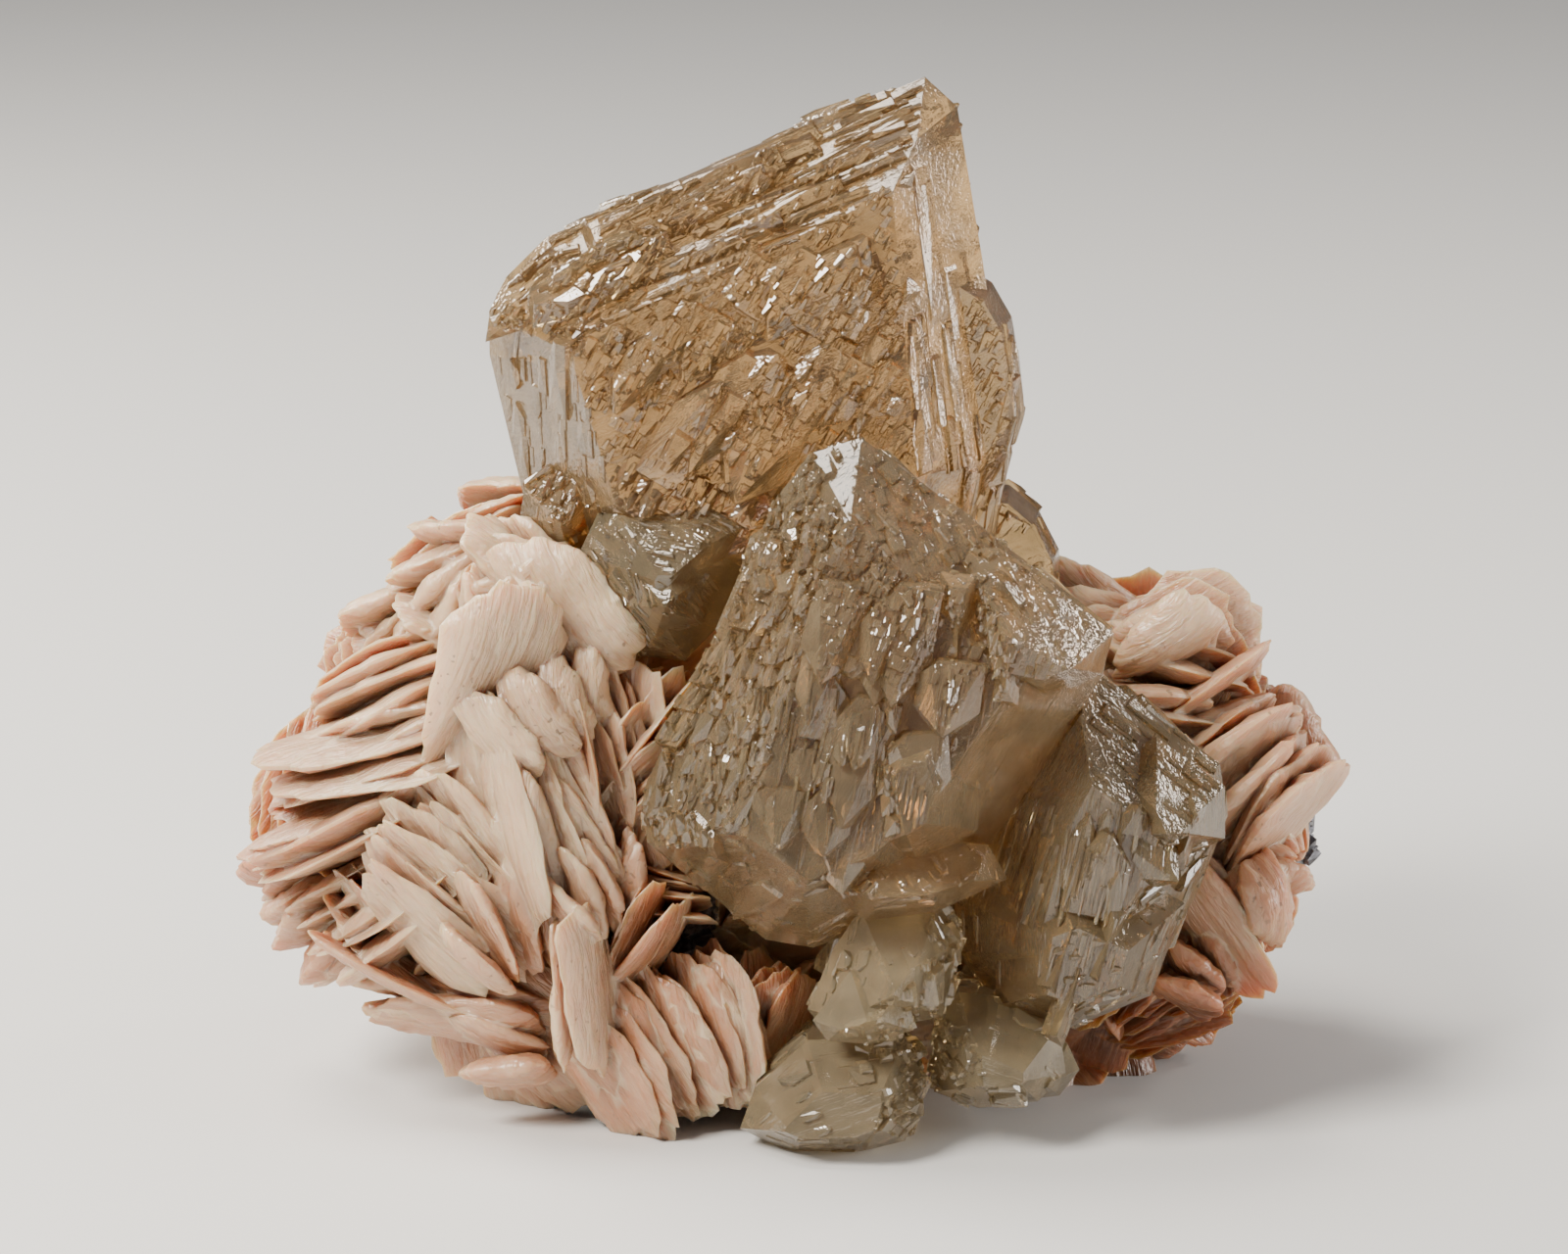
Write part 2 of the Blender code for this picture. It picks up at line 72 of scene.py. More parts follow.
# A crust of small growths on a crystal: which faces it grows on (their outward direction and how closely
# they follow it), the grain direction, how many, their usual length, width and height, their form, and the
# lowest and highest level that it reaches.
Crust = namedtuple("Crust", "facing within grain count size shape low high", defaults=("slab", 0, 100))

FANS = {
    "left": {
        "left_drapes": Fan((-33.2, -10, 22.5), (30, 0, 82), (22, 16, 4.4), 5, 3.6, 7, 0, 1.1, 1.0, 3),
        "left_terraces": Fan((-32, -7, 32), (24, 0, 70), (18, 15, 4.6), 3, 3.6, 3, 0, 0.5, 0.7, 3),
        "left_outer": Fan((-38.8, -2, 24), (62, -20, 30), (15, 11, 3.2), 3, 3.0, 12, 0, 1.3, 1.0, 3),
        "left_lower_outer": Fan((-38.2, -5, 15.6), (26, 0, 62), (15, 12, 4.2), 3, 3.4, 8, 0, 1.7),
        "feathers": Fan((-25.5, -17, 22.7), (-58, 0, 38), (18, 9, 3.2), 5, 2.3, 5, -1.9, 0.8, 1.2, 3),
        "big_leaf": Fan((-22.3, -18, 25), (-80, 4, 30), (24, 10, 3.4), 2, 2.6, 4, -2, 0.8, 1.3),
        "centre_leaves": Fan((-18, -14, 29), (-82, 0, 42), (22, 11, 3.6), 3, 3.2, 6, -1.2, 0.9, 1.0, 3),
        "recess_blades": Fan((-31, -13, 16.5), (-46, 0, 78), (15, 9, 1.8), 4, 3.2, 9, 0, 1.6),
        "sill": Fan((-27, -13, 9.4), (-8, 10, 40), (15, 10, 3.6), 2, 2.6, 8, 0, 1.9),
        "lobes": Fan((-22, -13, 6), (-58, 0, 12), (13, 10, 3), 3, 2, 14, 3, 1.3),
        "standing_leaf": Fan((-18.2, -21, 13), (88, 0, 60), (14.5, 7, 2.4), 1, 3, 5, 0, 0.6),
        "leaning_blades": Fan((-15, -16, 16.5), (62, 0, 66), (12, 7, 1.7), 3, 2.8, -8, 0, 1.5),
        "pink_plates": Fan((-11.5, -18, 7.6), (-66, 6, 30), (15, 9, 2.8), 4, 2.4, 8, -2.2, 1.7, 1.2, 3),
        "scalloped_plate": Fan((-7.4, -17, 8.2), (-82, 0, 30), (14, 8, 3), 1, 3, 5, 0, 1.5),
        "side_laths": Fan((-13.6, -12, 30), (58, 0, 62), (17, 9, 2.6), 3, 3.2, -8, 0, 1.0, 1.0, 3),
        "recess_laths": Fan((-12.6, -13, 20.4), (-12, 10, 70), (11, 8, 1.6), 3, 2.8, 12, 0, 1.2),
        "hidden_blades": Fan((-3, -13, 7.4), (76, 0, 50), (13, 8, 2.6), 2, 2.2, -9, 0, 1.8),
        "upper_ridge": Fan((-24.5, -13, 38), (62, 6, 30), (19, 11, 4.8), 2, 4, 10, 3, 0.1, 0.8, 2),
        "upper_left_crests": Fan((-29.6, -3, 36.6), (64, 0, 62), (14, 11, 3), 4, 3, 16, 0, 0.3, 0.9, 2),
        "crown_plates": Fan((-24.6, 2, 45.4), (14, 0, 62), (11, 12, 2.8), 3, 2.6, 14, 0, 0.4, 0.9, 2),
        "cavity_rim": Fan((-28, -2, 42), (50, 0, 40), (12, 9, 2.6), 3, 3, 26, 0, 0.4, 1.0, 2),
        "smooth_lobes": Fan((-19, -11, 41), (-60, 0, 20), (14, 11, 4.4), 2, 3.6, 14, 3, 0.2, 0.5, 1),
        "leaf_slivers": Fan((-24, -20, 18), (-70, 0, 60), (10, 5, 1.6), 4, 2.4, 14, 0, 1.0, 1.0, 1),
        "drape_slivers": Fan((-34, -13, 27), (10, 0, 70), (10, 6, 1.7), 4, 3, 16, 0, 1.1, 1.0, 1),
        "centre_slivers": Fan((-17, -19, 21), (-75, 0, 60), (9, 4.5, 1.6), 4, 2.2, 12, 0, 1.0, 1.0, 1),
        "recess_slivers": Fan((-33, -12, 13), (-30, 0, 70), (9, 5, 1.6), 5, 2.2, 16, 0, 1.6, 1.0, 1),
        "sill_slivers": Fan((-24, -16, 8), (-30, 0, 50), (8, 5, 1.6), 4, 2.2, 20, 0, 1.8, 1.0, 1),
        "crest_crumbs": Fan((-22.6, -11, 44), (14, 0, 44), (9.5, 6, 2), 5, 2.0, 30, 0, 0.4, 1.2, 1),
        "ridge_crumbs": Fan((-28, -8, 41), (60, 0, 60), (10, 6, 1.9), 7, 2.0, 22, 0, 0.5, 1.2, 1),
        "shoulder_crumbs": Fan((-32, -6, 36), (88, 0, 56), (9.5, 6, 1.7), 6, 2.0, 24, 0, 0.6, 1.2, 1),
        "ridge_scales": Fan((-21, -17.5, 35.5), (-70, 0, 24), (9, 6, 2.4), 4, 2.2, 14, -2, 0.3, 0.8, 1),
        "left_spikes": Fan((-34, -1, 35), (150, 0, 60), (9, 7, 2.6), 3, 3.4, 14, 0, 0.9),
    },
    "right": {
        "right_crown": Fan((31, 3, 35.2), (20, 0, 8), (14.5, 11, 3.8), 2, 3, 18, 2, 0.5, 0.6),
        "right_shoulder": Fan((23.4, 3, 36.6), (-30, 0, 20), (12, 9, 3.6), 2, 2.8, 14, 0, 0.6, 0.7),
        "right_layers": Fan((28.5, -2, 31), (-10, 0, 66), (17, 15, 4), 3, 3.8, 5, 0, 0.7, 0.7, 2),
        "right_diagonals": Fan((34.6, -5, 26.5), (42, 0, 62), (16, 12, 3.8), 4, 3.5, 5, 0, 1.0, 1.0, 2),
        "right_wall": Fan((38.6, 2, 26.5), (-58, 0, 40), (13, 12, 4), 2, 3.6, 12, 0, 1.6, 1.0, 1),
        "right_wall_low": Fan((36.8, 2, 15.5), (-84, 0, 34), (14, 9, 3), 3, 2.8, 12, 0, 1.4, 1.1, 2),
        "orange_plates": Fan((33.6, -5, 15.5), (-70, 0, 34), (14, 8.5, 2.8), 4, 2.6, 14, 1.6, 1.5, 1.2, 2),
        "right_foot_laths": Fan((29.6, -5, 9.4), (-150, 0, 62), (14, 9, 2.4), 5, 2.4, 10, 0, 1.9, 1.0, 3),
        "wall_crumbs": Fan((35, -8.5, 17), (60, 0, 40), (8, 6, 2.4), 4, 2.6, 30, 0, 1.4, 1.2, 1),
        "wall_scales": Fan((37, -6, 22), (-40, 0, 50), (8, 6, 2.2), 5, 2.2, 24, 0, 1.5, 1.2, 1),
        "low_scales": Fan((32, -9.5, 12), (-60, 0, 50), (8, 6, 2.2), 4, 2.2, 22, 0, 2.1, 1.2, 1),
        "crown_scales": Fan((30, -1.5, 37), (10, 0, 30), (10, 7, 2.4), 4, 2, 20, 2, 0.4, 0.8, 1),
        "rusty_blades": Fan((25, -1, 4.4), (-120, 0, 60), (9, 7, 2.4), 3, 2.6, 16, 0, 2.9),
    },
    "back": {
        "back_left_high": Fan((-24, 15, 33), (70, 0, 140), (18, 13, 5), 3, 4.2, 12, 0, 0.4),
        "back_left_low": Fan((-26, 17, 14), (20, 0, 110), (19, 14, 5), 3, 4.2, 12, 0, 1.2),
        "back_left_side": Fan((-32, 10, 22), (80, 0, 120), (17, 13, 5), 2, 4.2, 14, 0, 1.0),
        "back_crown": Fan((-11, 14, 38), (10, 0, 120), (17, 12, 5), 2, 4.2, 12, 0, 0.4),
        "back_middle": Fan((-8, 21, 24), (-50, 0, 112), (19, 13, 5), 3, 4.2, 12, 0, 0.9),
        "back_foot": Fan((-4, 20, 9), (14, 0, 100), (18, 12, 5), 2, 4.2, 12, 0, 1.6),
        "back_centre_right": Fan((10, 19, 30), (48, 0, 118), (18, 13, 5), 3, 4.2, 12, 0, 0.8),
        "back_right_high": Fan((26, 15, 28), (-20, 0, 130), (16, 12, 5), 3, 4.2, 12, 0, 0.9),
        "back_right_low": Fan((24, 17, 11), (70, 0, 116), (16, 12, 5), 2, 4.2, 12, 0, 1.7),
    },
}

# The rounded lumps that the fans grow from: centre and radii.
LUMPS = {
    "left": (((-25, 5, 25), (13.6, 14.6, 17.6)), ((-16, 4, 9), (11.6, 14.6, 11.6))),
    "right": (((28, 6, 21), (10.6, 12.6, 15.6)), ((22, 6, 8), (10.6, 12.6, 10.6))),
    "back": (((-1, 7, 22), (19.6, 14.6, 20.6)), ((0, 8, 4), (24.6, 16.6, 7.6))),
}
LUMP_STAIN = 1.3
DRUSE_COUNT = {"left": 60, "right": 50, "back": 170}
SMALL = Fan((0, 0, 0), (0, 0, 0), (8, 7, 1.5), 1, 1, 1, stain=1.0)

# Outward directions of the crystals' main faces and the grain directions of the growths on them.
UP_BAND = (0.92, 0, 0.40)
UP_GRAIN = (-0.5, 0, -0.87)
UP_ROOF = (-0.32, -0.59, 0.74)
UP_WINDOW = (-0.79, -0.59, -0.18)
AHEAD = (0, -0.99, 0.13)
FRONT_LEFT = (-0.76, -0.57, 0.3)
FRONT_RIGHT = (0.54, -0.5, 0.68)
CRUSTS = {
    "upper_cerussite": (
        Crust(UP_ROOF, 0.90, UP_BAND, 50, (16, 2.0, 1.6), "slab"),
        Crust(UP_ROOF, 0.85, UP_BAND, 260, (7, 0.9, 0.6), "slab"),
        Crust(UP_ROOF, 0.85, (-0.4, -0.3, -0.8), 120, (1.2, 0.8, 0.4), "roof", 0, 66),
        Crust(AHEAD, 0.85, UP_GRAIN, 90, (5.5, 3.4, 1.2), "shield", 44, 76),
        Crust(AHEAD, 0.80, UP_GRAIN, 420, (3.0, 1.4, 0.6), "roof", 44, 78),
        Crust(AHEAD, 0.72, UP_GRAIN, 1400, (1.4, 0.6, 0.35), "roof", 46, 78),
        Crust((0.8, -0.59, 0.14), 0.75, (-0.1, 0, 1), 180, (8, 1.5, 0.5), "slab", 30, 64),
        Crust((0.8, -0.59, 0.14), 0.75, (-0.1, 0, 1), 10, (9, 2.6, 0.22), "slab", 62, 80),
        Crust(UP_WINDOW, 0.85, (0.3, 0, 1), 16, (6, 3.4, 0.5), "shield"),
        Crust(UP_WINDOW, 0.80, (0.3, 0, 1), 110, (2.4, 0.8, 0.14), "slab"),
        Crust((0, 1, 0.2), 0.30, UP_BAND, 60, (9, 3, 0.9), "slab"),
        Crust((0, 1, 0.2), 0.30, UP_BAND, 420, (4, 1.3, 0.5), "slab"),
    ),
    "front_cerussite": (
        Crust(FRONT_LEFT, 0.85, (0.42, 0, 0.91), 50, (4.5, 2.2, 0.7), "shield"),
        Crust(FRONT_LEFT, 0.80, (0.42, 0, 0.91), 620, (1.7, 1.0, 0.45), "shield"),
        Crust(AHEAD, 0.90, (-0.15, 0, -0.99), 34, (9, 6, 1.6), "shield", 14, 46),
        Crust(AHEAD, 0.85, (-0.15, 0, -0.99), 80, (5, 3, 0.8), "shield", 14, 52),
        Crust(AHEAD, 0.85, (-0.15, 0, -0.99), 260, (4.6, 0.5, 0.14), "slab", 18, 42),
        Crust(AHEAD, 0.80, (-0.35, 0, -0.93), 700, (0.9, 0.6, 0.16), "roof", 40, 70),
        Crust(FRONT_RIGHT, 0.85, (0.45, -0.6, -0.6), 300, (1.3, 0.7, 0.14), "roof"),
        Crust((-0.3, -0.6, -0.7), 0.80, (0.6, 0, 0.8), 60, (2.6, 1.4, 0.25), "shield"),
        Crust((0, -0.6, 0.8), 0.20, (0.4, 0, -0.9), 300, (1.5, 0.9, 0.3), "roof", 46, 70),
        Crust((0, 1, 0), 0.30, (0, 0, 1), 160, (3.4, 1.6, 0.5), "slab"),
    ),
    "lower_cerussite": (
        Crust(AHEAD, 0.80, (0.17, 0, 0.98), 26, (8, 5, 1.0), "shield"),
        Crust(AHEAD, 0.75, (0.17, 0, 0.98), 200, (5, 0.5, 0.16), "slab"),
        Crust((-0.79, -0.56, 0.25), 0.80, (0.17, 0, 0.98), 60, (5, 0.8, 0.25), "slab"),
        Crust((0.5, -0.53, 0.68), 0.85, (0.75, 0, -0.6), 16, (7, 1.6, 0.5), "slab"),
        Crust((0.5, -0.53, 0.68), 0.80, (0.75, 0, -0.6), 50, (2.6, 0.8, 0.22), "slab"),
        Crust((0.75, -0.6, -0.3), 0.75, (0.17, 0, 0.98), 60, (4, 1.2, 0.25), "shield"),
        Crust((0, -0.5, -0.9), 0.50, (1, 0, 0.1), 100, (2.2, 1.2, 0.3), "shield"),
        Crust((0, 1, 0), 0.30, (0, 0, 1), 100, (3.4, 1.6, 0.5), "slab"),
    ),
    "side_cerussite": (
        Crust((-0.6, -0.53, -0.6), 0.60, (0.5, 0, -0.87), 70, (4, 0.7, 0.22), "slab"),
        Crust((0.56, -0.53, 0.64), 0.60, (0.87, 0, -0.5), 70, (4, 0.7, 0.22), "slab"),
        Crust((-0.1, -0.8, 0.5), 0.40, (0.87, 0, -0.5), 90, (2.4, 0.7, 0.3), "roof"),
    ),
    "foot_cerussite_tip": (
        Crust((-0.2, -1, 0.1), -0.2, (0.2, 0, -0.98), 12, (6.5, 4.4, 1.1), "shield"),
        Crust((-0.2, -1, 0.1), -0.2, (0.2, 0, -0.98), 30, (3.0, 1.6, 0.35), "shield"),
        Crust((-0.2, -1, 0.1), -0.2, (0.2, 0, -0.98), 50, (2.4, 0.6, 0.12), "slab"),
        Crust((0.9, -0.3, -0.3), 0.45, (0.2, 0, -0.98), 160, (1.3, 1.0, 0.5), "roof"),
    ),
    "foot_cerussite_left": (
        Crust((-0.2, -1, 0.1), -0.2, (0.9, 0, 0.3), 12, (6.5, 4.4, 1.1), "shield"),
        Crust((-0.2, -1, 0.1), -0.2, (0.9, 0, 0.3), 30, (3.0, 1.6, 0.35), "shield"),
        Crust((-0.2, -1, 0.1), -0.2, (0.9, 0, 0.3), 50, (2.4, 0.6, 0.12), "slab"),
        Crust((0.9, -0.3, 0.4), 0.45, (0.9, 0, 0.3), 200, (1.3, 1.0, 0.5), "roof"),
    ),
    "foot_cerussite_right": (
        Crust((-0.2, -1, 0.1), -0.2, (0.9, 0, -0.3), 12, (6.5, 4.4, 1.1), "shield"),
        Crust((-0.2, -1, 0.1), -0.2, (0.9, 0, -0.3), 30, (3.0, 1.6, 0.35), "shield"),
        Crust((-0.2, -1, 0.1), -0.2, (0.9, 0, -0.3), 50, (2.4, 0.6, 0.12), "slab"),
        Crust((-0.9, -0.3, 0.1), 0.45, (0.9, 0, -0.3), 160, (1.3, 1.0, 0.5), "roof"),
    ),
}

# Single larger plates that stand out: the crystal, then middle, outward direction, grain and size.
PLATES = (
    ("upper_cerussite", (-7.4, -12.6, 55.4), (0.30, -0.88, 0.36), (0.8, 0, 0.6), (4.6, 3.4, 1.3)),
    ("upper_cerussite", (-16.5, -9.5, 68.6), (-0.40, -0.45, 0.80), UP_BAND, (13, 4.2, 1.2)),
    ("upper_cerussite", (-8.5, -7.0, 74.0), (-0.36, -0.50, 0.78), UP_BAND, (12, 3.0, 1.2)),
    ("upper_cerussite", (9.5, -10.6, 57.6), (0.35, -0.90, 0.20), (0.1, 0, 1), (4.4, 2.0, 1.0)),
    ("front_cerussite", (-3.4, -27.0, 30.2), (-0.25, -0.95, 0.15), (0.42, 0, 0.91), (7.5, 2.6, 0.9)),
    ("front_cerussite", (8.8, -28.8, 33.5), (0.15, -0.97, 0.15), (0.05, 0, -1), (6.4, 5.2, 1.5)),
    ("front_cerussite", (2.6, -28.6, 26.5), (-0.05, -0.98, 0.05), (0.1, 0, -1), (6.0, 4.2, 1.3)),
    ("lower_cerussite", (27.6, -23.0, 24.6), (0.30, -0.93, 0.20), (0.6, 0, -0.8), (5.0, 3.8, 1.2)),
)

# Each crystal's look: the tint that light takes at its surface, how much of it is frosted, how strongly it
# is striated, how dark its depth is against the usual, and how much of it is milky.
Look = namedtuple("Look", "tint frost striae depth milk", defaults=(1.0, 0.0))
LOOKS = {
    "upper_cerussite": Look((0.72, 0.54, 0.295), 0.9, 0.8),
    "front_cerussite": Look((0.76, 0.61, 0.36), 0.5, 0.7),
    "lower_cerussite": Look((0.70, 0.56, 0.32), 0.3, 0.8),
    "side_cerussite": Look((0.70, 0.56, 0.33), 0.3, 0.9),
    "foot_cerussite_tip": Look((0.80, 0.67, 0.43), 0.4, 0.5, 0.5, 0.06),
    "foot_cerussite_left": Look((0.72, 0.59, 0.37), 0.4, 0.5, 0.6, 0.06),
    "foot_cerussite_right": Look((0.74, 0.61, 0.38), 0.4, 0.5, 0.6, 0.06),
}

# Galena: node, how many cubes and the edge of the largest.
GALENA = {"galena_left": (90, 2.0), "galena_right": (60, 1.6)}


class StageSettings(bpy.types.PropertyGroup):
    """The floor, the lights and the camera."""

    floor_colour: FloatVectorProperty(
        name="Floor colour", description="Colour of the plain floor", subtype="COLOR",
        default=(0.68, 0.675, 0.66), min=0, max=1)
    key_power: FloatProperty(
        name="Key light", description="Power of the large light at the upper left", subtype="POWER",
        unit="POWER", default=7.0, min=0)
    rim_power: FloatProperty(
        name="Rim lights", description="Power of each light behind the specimen", subtype="POWER",
        unit="POWER", default=3.6, min=0)
    sky_strength: FloatProperty(
        name="Room light", description="Brightness of the even light all round", default=0.22, min=0)
    elevation: FloatProperty(
        name="Camera elevation", description="Height of the camera's view above the level", subtype="ANGLE",
        unit="ROTATION", default=math.radians(14))
    distance: FloatProperty(
        name="Camera distance", description="From the camera to the point it looks at", subtype="DISTANCE",
        unit="LENGTH", default=0.4762, min=0.01)
    lens: FloatProperty(
        name="Lens", description="Focal length in millimetres", subtype="DISTANCE_CAMERA",
        unit="CAMERA", default=135.0, min=1)


class CerussiteSettings(bpy.types.PropertyGroup):
    """The smoky crystals."""

    clearness: FloatProperty(
        name="Clearness", description="Share of the light that goes into the crystal", subtype="FACTOR",
        default=0.86, min=0, max=1)
    body_colour: FloatVectorProperty(
        name="Body colour", description="Colour that the crystal's depth lets through", subtype="COLOR",
        default=(0.70, 0.50, 0.22), min=0, max=1)
    body_density: FloatProperty(
        name="Body density", description="How soon the crystal's depth takes up light, per metre",
        default=62.0, min=0)
    refraction: FloatProperty(
        name="Refraction", description="Index of refraction", default=1.72, min=1, max=3)
    crust_density: FloatProperty(
        name="Growths", description="Share of the small growths that are made", subtype="FACTOR",
        default=1.0, min=0, max=1)


class BariteSettings(bpy.types.PropertyGroup):
    """The bladed matrix."""

    thickness: FloatProperty(
        name="Blade thickness", description="Thickness of every blade against its usual one",
        subtype="FACTOR", default=1.0, min=0.5, max=1.5)
    white: FloatVectorProperty(
        name="White", description="Cleanest barite", subtype="COLOR", default=(0.63, 0.462, 0.30), min=0, max=1)
    pink: FloatVectorProperty(
        name="Pink", description="Usual barite", subtype="COLOR", default=(0.50, 0.315, 0.20), min=0, max=1)
    orange: FloatVectorProperty(
        name="Orange", description="Iron-stained barite", subtype="COLOR", default=(0.46, 0.20, 0.10),
        min=0, max=1)
    rust: FloatVectorProperty(
        name="Rust", description="Most stained barite", subtype="COLOR", default=(0.16, 0.06, 0.022),
        min=0, max=1)


class GalenaSettings(bpy.types.PropertyGroup):
    """The lead-grey grains."""

    colour: FloatVectorProperty(
        name="Galena", description="Colour of the metal", subtype="COLOR", default=(0.11, 0.11, 0.12),
        min=0, max=1)


class Value:
    """A shader socket that Python's arithmetic works on: each operation adds its Math node."""

    def __init__(self, finish, socket):
        self.finish = finish
        self.socket = socket

    def math(self, operation, *others):
        inputs = dict(enumerate((self, *others)))
        return self.finish.node("ShaderNodeMath", 0, {"operation": operation}, inputs)

    def __add__(self, other):
        return self.math("ADD", other)

    __radd__ = __add__

    def __mul__(self, other):
        return self.math("MULTIPLY", other)

    __rmul__ = __mul__

    def __sub__(self, other):
        return self.math("SUBTRACT", other)

    def __rsub__(self, other):
        return (self * -1) + other

    def __pow__(self, other):
        return self.math("POWER", other)

    def clamped(self):
        return self.math("MAXIMUM", 0.0).math("MINIMUM", 1.0)

    def above(self, low, high):
        """0 below low, 1 above high, and a straight way between."""
        return ((self - low) * (1 / (high - low))).clamped()


class Finish:
    """One material and its nodes."""

    def __init__(self, name, **surface):
        self.material = bpy.data.materials.new(name)
        self.material.use_nodes = True
        self.tree = self.material.node_tree
        self.shader = self.tree.nodes["Principled BSDF"]
        self.output = self.tree.nodes["Material Output"]
        for socket, value in surface.items():
            self.shader.inputs[socket.replace("_", " ").title().replace("Ior", "IOR")].default_value = value

    def node(self, kind, output, settings, inputs):
        """Adds a node: its settings first, then the values and links of its sockets."""
        made = self.tree.nodes.new(kind)
        for key, value in settings.items():
            if key == "stops":
                self.set_stops(made.color_ramp, value)
            else:
                setattr(made, key, value)
        for key, value in inputs.items():
            if isinstance(value, Value):
                self.tree.links.new(value.socket, made.inputs[key])
            else:
                made.inputs[key].default_value = value
        return Value(self, made.outputs[output])

    @staticmethod
    def set_stops(ramp, stops):
        while len(ramp.elements) < len(stops):
            ramp.elements.new(1.0)
        for element, (position, colour) in zip(ramp.elements, stops):
            element.position = position
            element.color = (*colour, 1)

    def place(self, turn=(0, 0, 0), stretch=(1, 1, 1)):
        """Object coordinates for a pattern that is stretched along its own axes and then turned."""
        point = self.node("ShaderNodeTexCoord", "Object", {}, {})
        return self.node("ShaderNodeMapping", 0, {"vector_type": "TEXTURE"}, {
            "Vector": point, "Rotation": turn, "Scale": stretch})

    def noise(self, point, scale, detail=4.0, roughness=0.55, distortion=0.0):
        return self.node("ShaderNodeTexNoise", 0, {}, {
            "Vector": point, "Scale": scale, "Detail": detail, "Roughness": roughness,
            "Distortion": distortion})

    def attribute(self, name):
        return self.node("ShaderNodeAttribute", "Fac", {"attribute_name": name}, {})

    def mix(self, share, first, second):
        return self.node("ShaderNodeMix", 2, {"data_type": "RGBA"}, {0: share, 6: first, 7: second})

    def bump(self, height, strength, distance, under=None):
        inputs = {"Height": height, "Strength": strength, "Distance": distance}
        if under:
            inputs["Normal"] = under
        return self.node("ShaderNodeBump", 0, {}, inputs)

    def feed(self, socket, value):
        self.tree.links.new(value.socket, self.shader.inputs[socket])


def deselect_all():
    for obj in bpy.context.selected_objects:
        obj.select_set(False)


def only(obj):
    """Makes this the one selected and active object."""
    deselect_all()
    obj.select_set(True)
    bpy.context.view_layer.objects.active = obj


def remove(*objects):
    for obj in objects:
        mesh = obj.data
        bpy.data.objects.remove(obj)
        if not mesh.users:
            bpy.data.meshes.remove(mesh)


def new_object(name, mesh):
    obj = bpy.data.objects.new(name, mesh)
    bpy.context.scene.collection.objects.link(obj)
    return obj


def solid_copy(node, name):
    """A merged copy of a CAD node's mesh, closed and free of doubles."""
    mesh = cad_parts[node].data.copy()
    mesh.materials.clear()
    shape = bmesh.new()
    shape.from_mesh(mesh)
    bmesh.ops.remove_doubles(shape, verts=shape.verts, dist=MERGE)
    shape.to_mesh(mesh)
    shape.free()
    return new_object(name, mesh)


def fuse(target, tools, operation="UNION"):
    """Joins or cuts the target with all the tools at once, and removes the tools."""
    if not tools:
        return
    holder = bpy.data.collections.new("tools")
    for tool in tools:
        holder.objects.link(tool)
    modifier = target.modifiers.new(operation, "BOOLEAN")
    modifier.operation = operation
    modifier.operand_type = "COLLECTION"
    modifier.collection = holder
    modifier.solver = "MANIFOLD"
    only(target)
    bpy.ops.object.modifier_apply(modifier=modifier.name)
    remove(*tools)
    bpy.data.collections.remove(holder)


def set_out(piece, node, finish):
    """Gives a finished piece its material and its body, and hides the CAD node that it stands for."""
    piece.data.materials.clear()
    piece.data.materials.append(finish.material)
    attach(piece, "root")
    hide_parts(node)


def modelled_growth(shape):
    """One small crystal growth, two units long and wide and one high above its face, made from a cube.

    Its top climbs towards +X and ends there in a steep face."""
    ridge, shoulder = {"slab": (0.80, 0.35), "roof": (0.62, 0.75), "shield": (0.90, 0.55)}[shape]
    deselect_all()
    bpy.ops.mesh.primitive_cube_add(size=2, location=(0, 0, 0))
    growth = bpy.context.object
    bpy.ops.object.mode_set(mode="EDIT")
    bpy.ops.mesh.select_all(action="DESELECT")
    edit = bmesh.from_edit_mesh(growth.data)
    for face in edit.faces:
        face.select_set(face.normal.z > 0.9)
    bmesh.update_edit_mesh(growth.data)
    bpy.ops.transform.resize(value=(ridge, ridge, 1))
    bpy.ops.transform.translate(value=(0.12, 0, 0))
    cuts = [((0.6, 0, 1), (-0.28, 0.05, 1)), ((0, 0.72, 0.55), (0.1, shoulder, 0.6)),
            ((0, -0.72, 0.60), (0.05, -shoulder, 0.6)), ((0.8, 0.5, 0), (0.9, 0.8, 0.2))]
    if shape == "shield":
        cuts += [((0.8, -0.5, 0), (0.9, -0.8, 0.2)), ((-0.8, -0.5, 0), (-0.9, -0.7, 0.1))]
    for place, normal in cuts:
        bpy.ops.mesh.select_all(action="SELECT")
        bpy.ops.mesh.bisect(plane_co=place, plane_no=normal, clear_outer=True, use_fill=True)
    bpy.ops.object.mode_set(mode="OBJECT")
    return growth


def frame_of(normal, grain):
    """The turn that takes Z to the normal and X as near as it goes to the grain."""
    along = (grain - normal * grain.dot(normal)).normalized()
    return Matrix((along, normal.cross(along), normal)).transposed()


def plate(source, place, normal, grain, size):
    """One larger growth, set out as listed."""
    turn = frame_of(Vector(normal).normalized(), Vector(grain).normalized())
    mesh = source.data.copy()
    length, width, height = size
    mesh.transform(Matrix.Scale(MM, 4) @ Matrix.Translation(place) @ turn.to_4x4()
                   @ Matrix.Diagonal((length / 2, width / 2, height, 1)))
    return bpy.data.objects.new("plate", mesh)


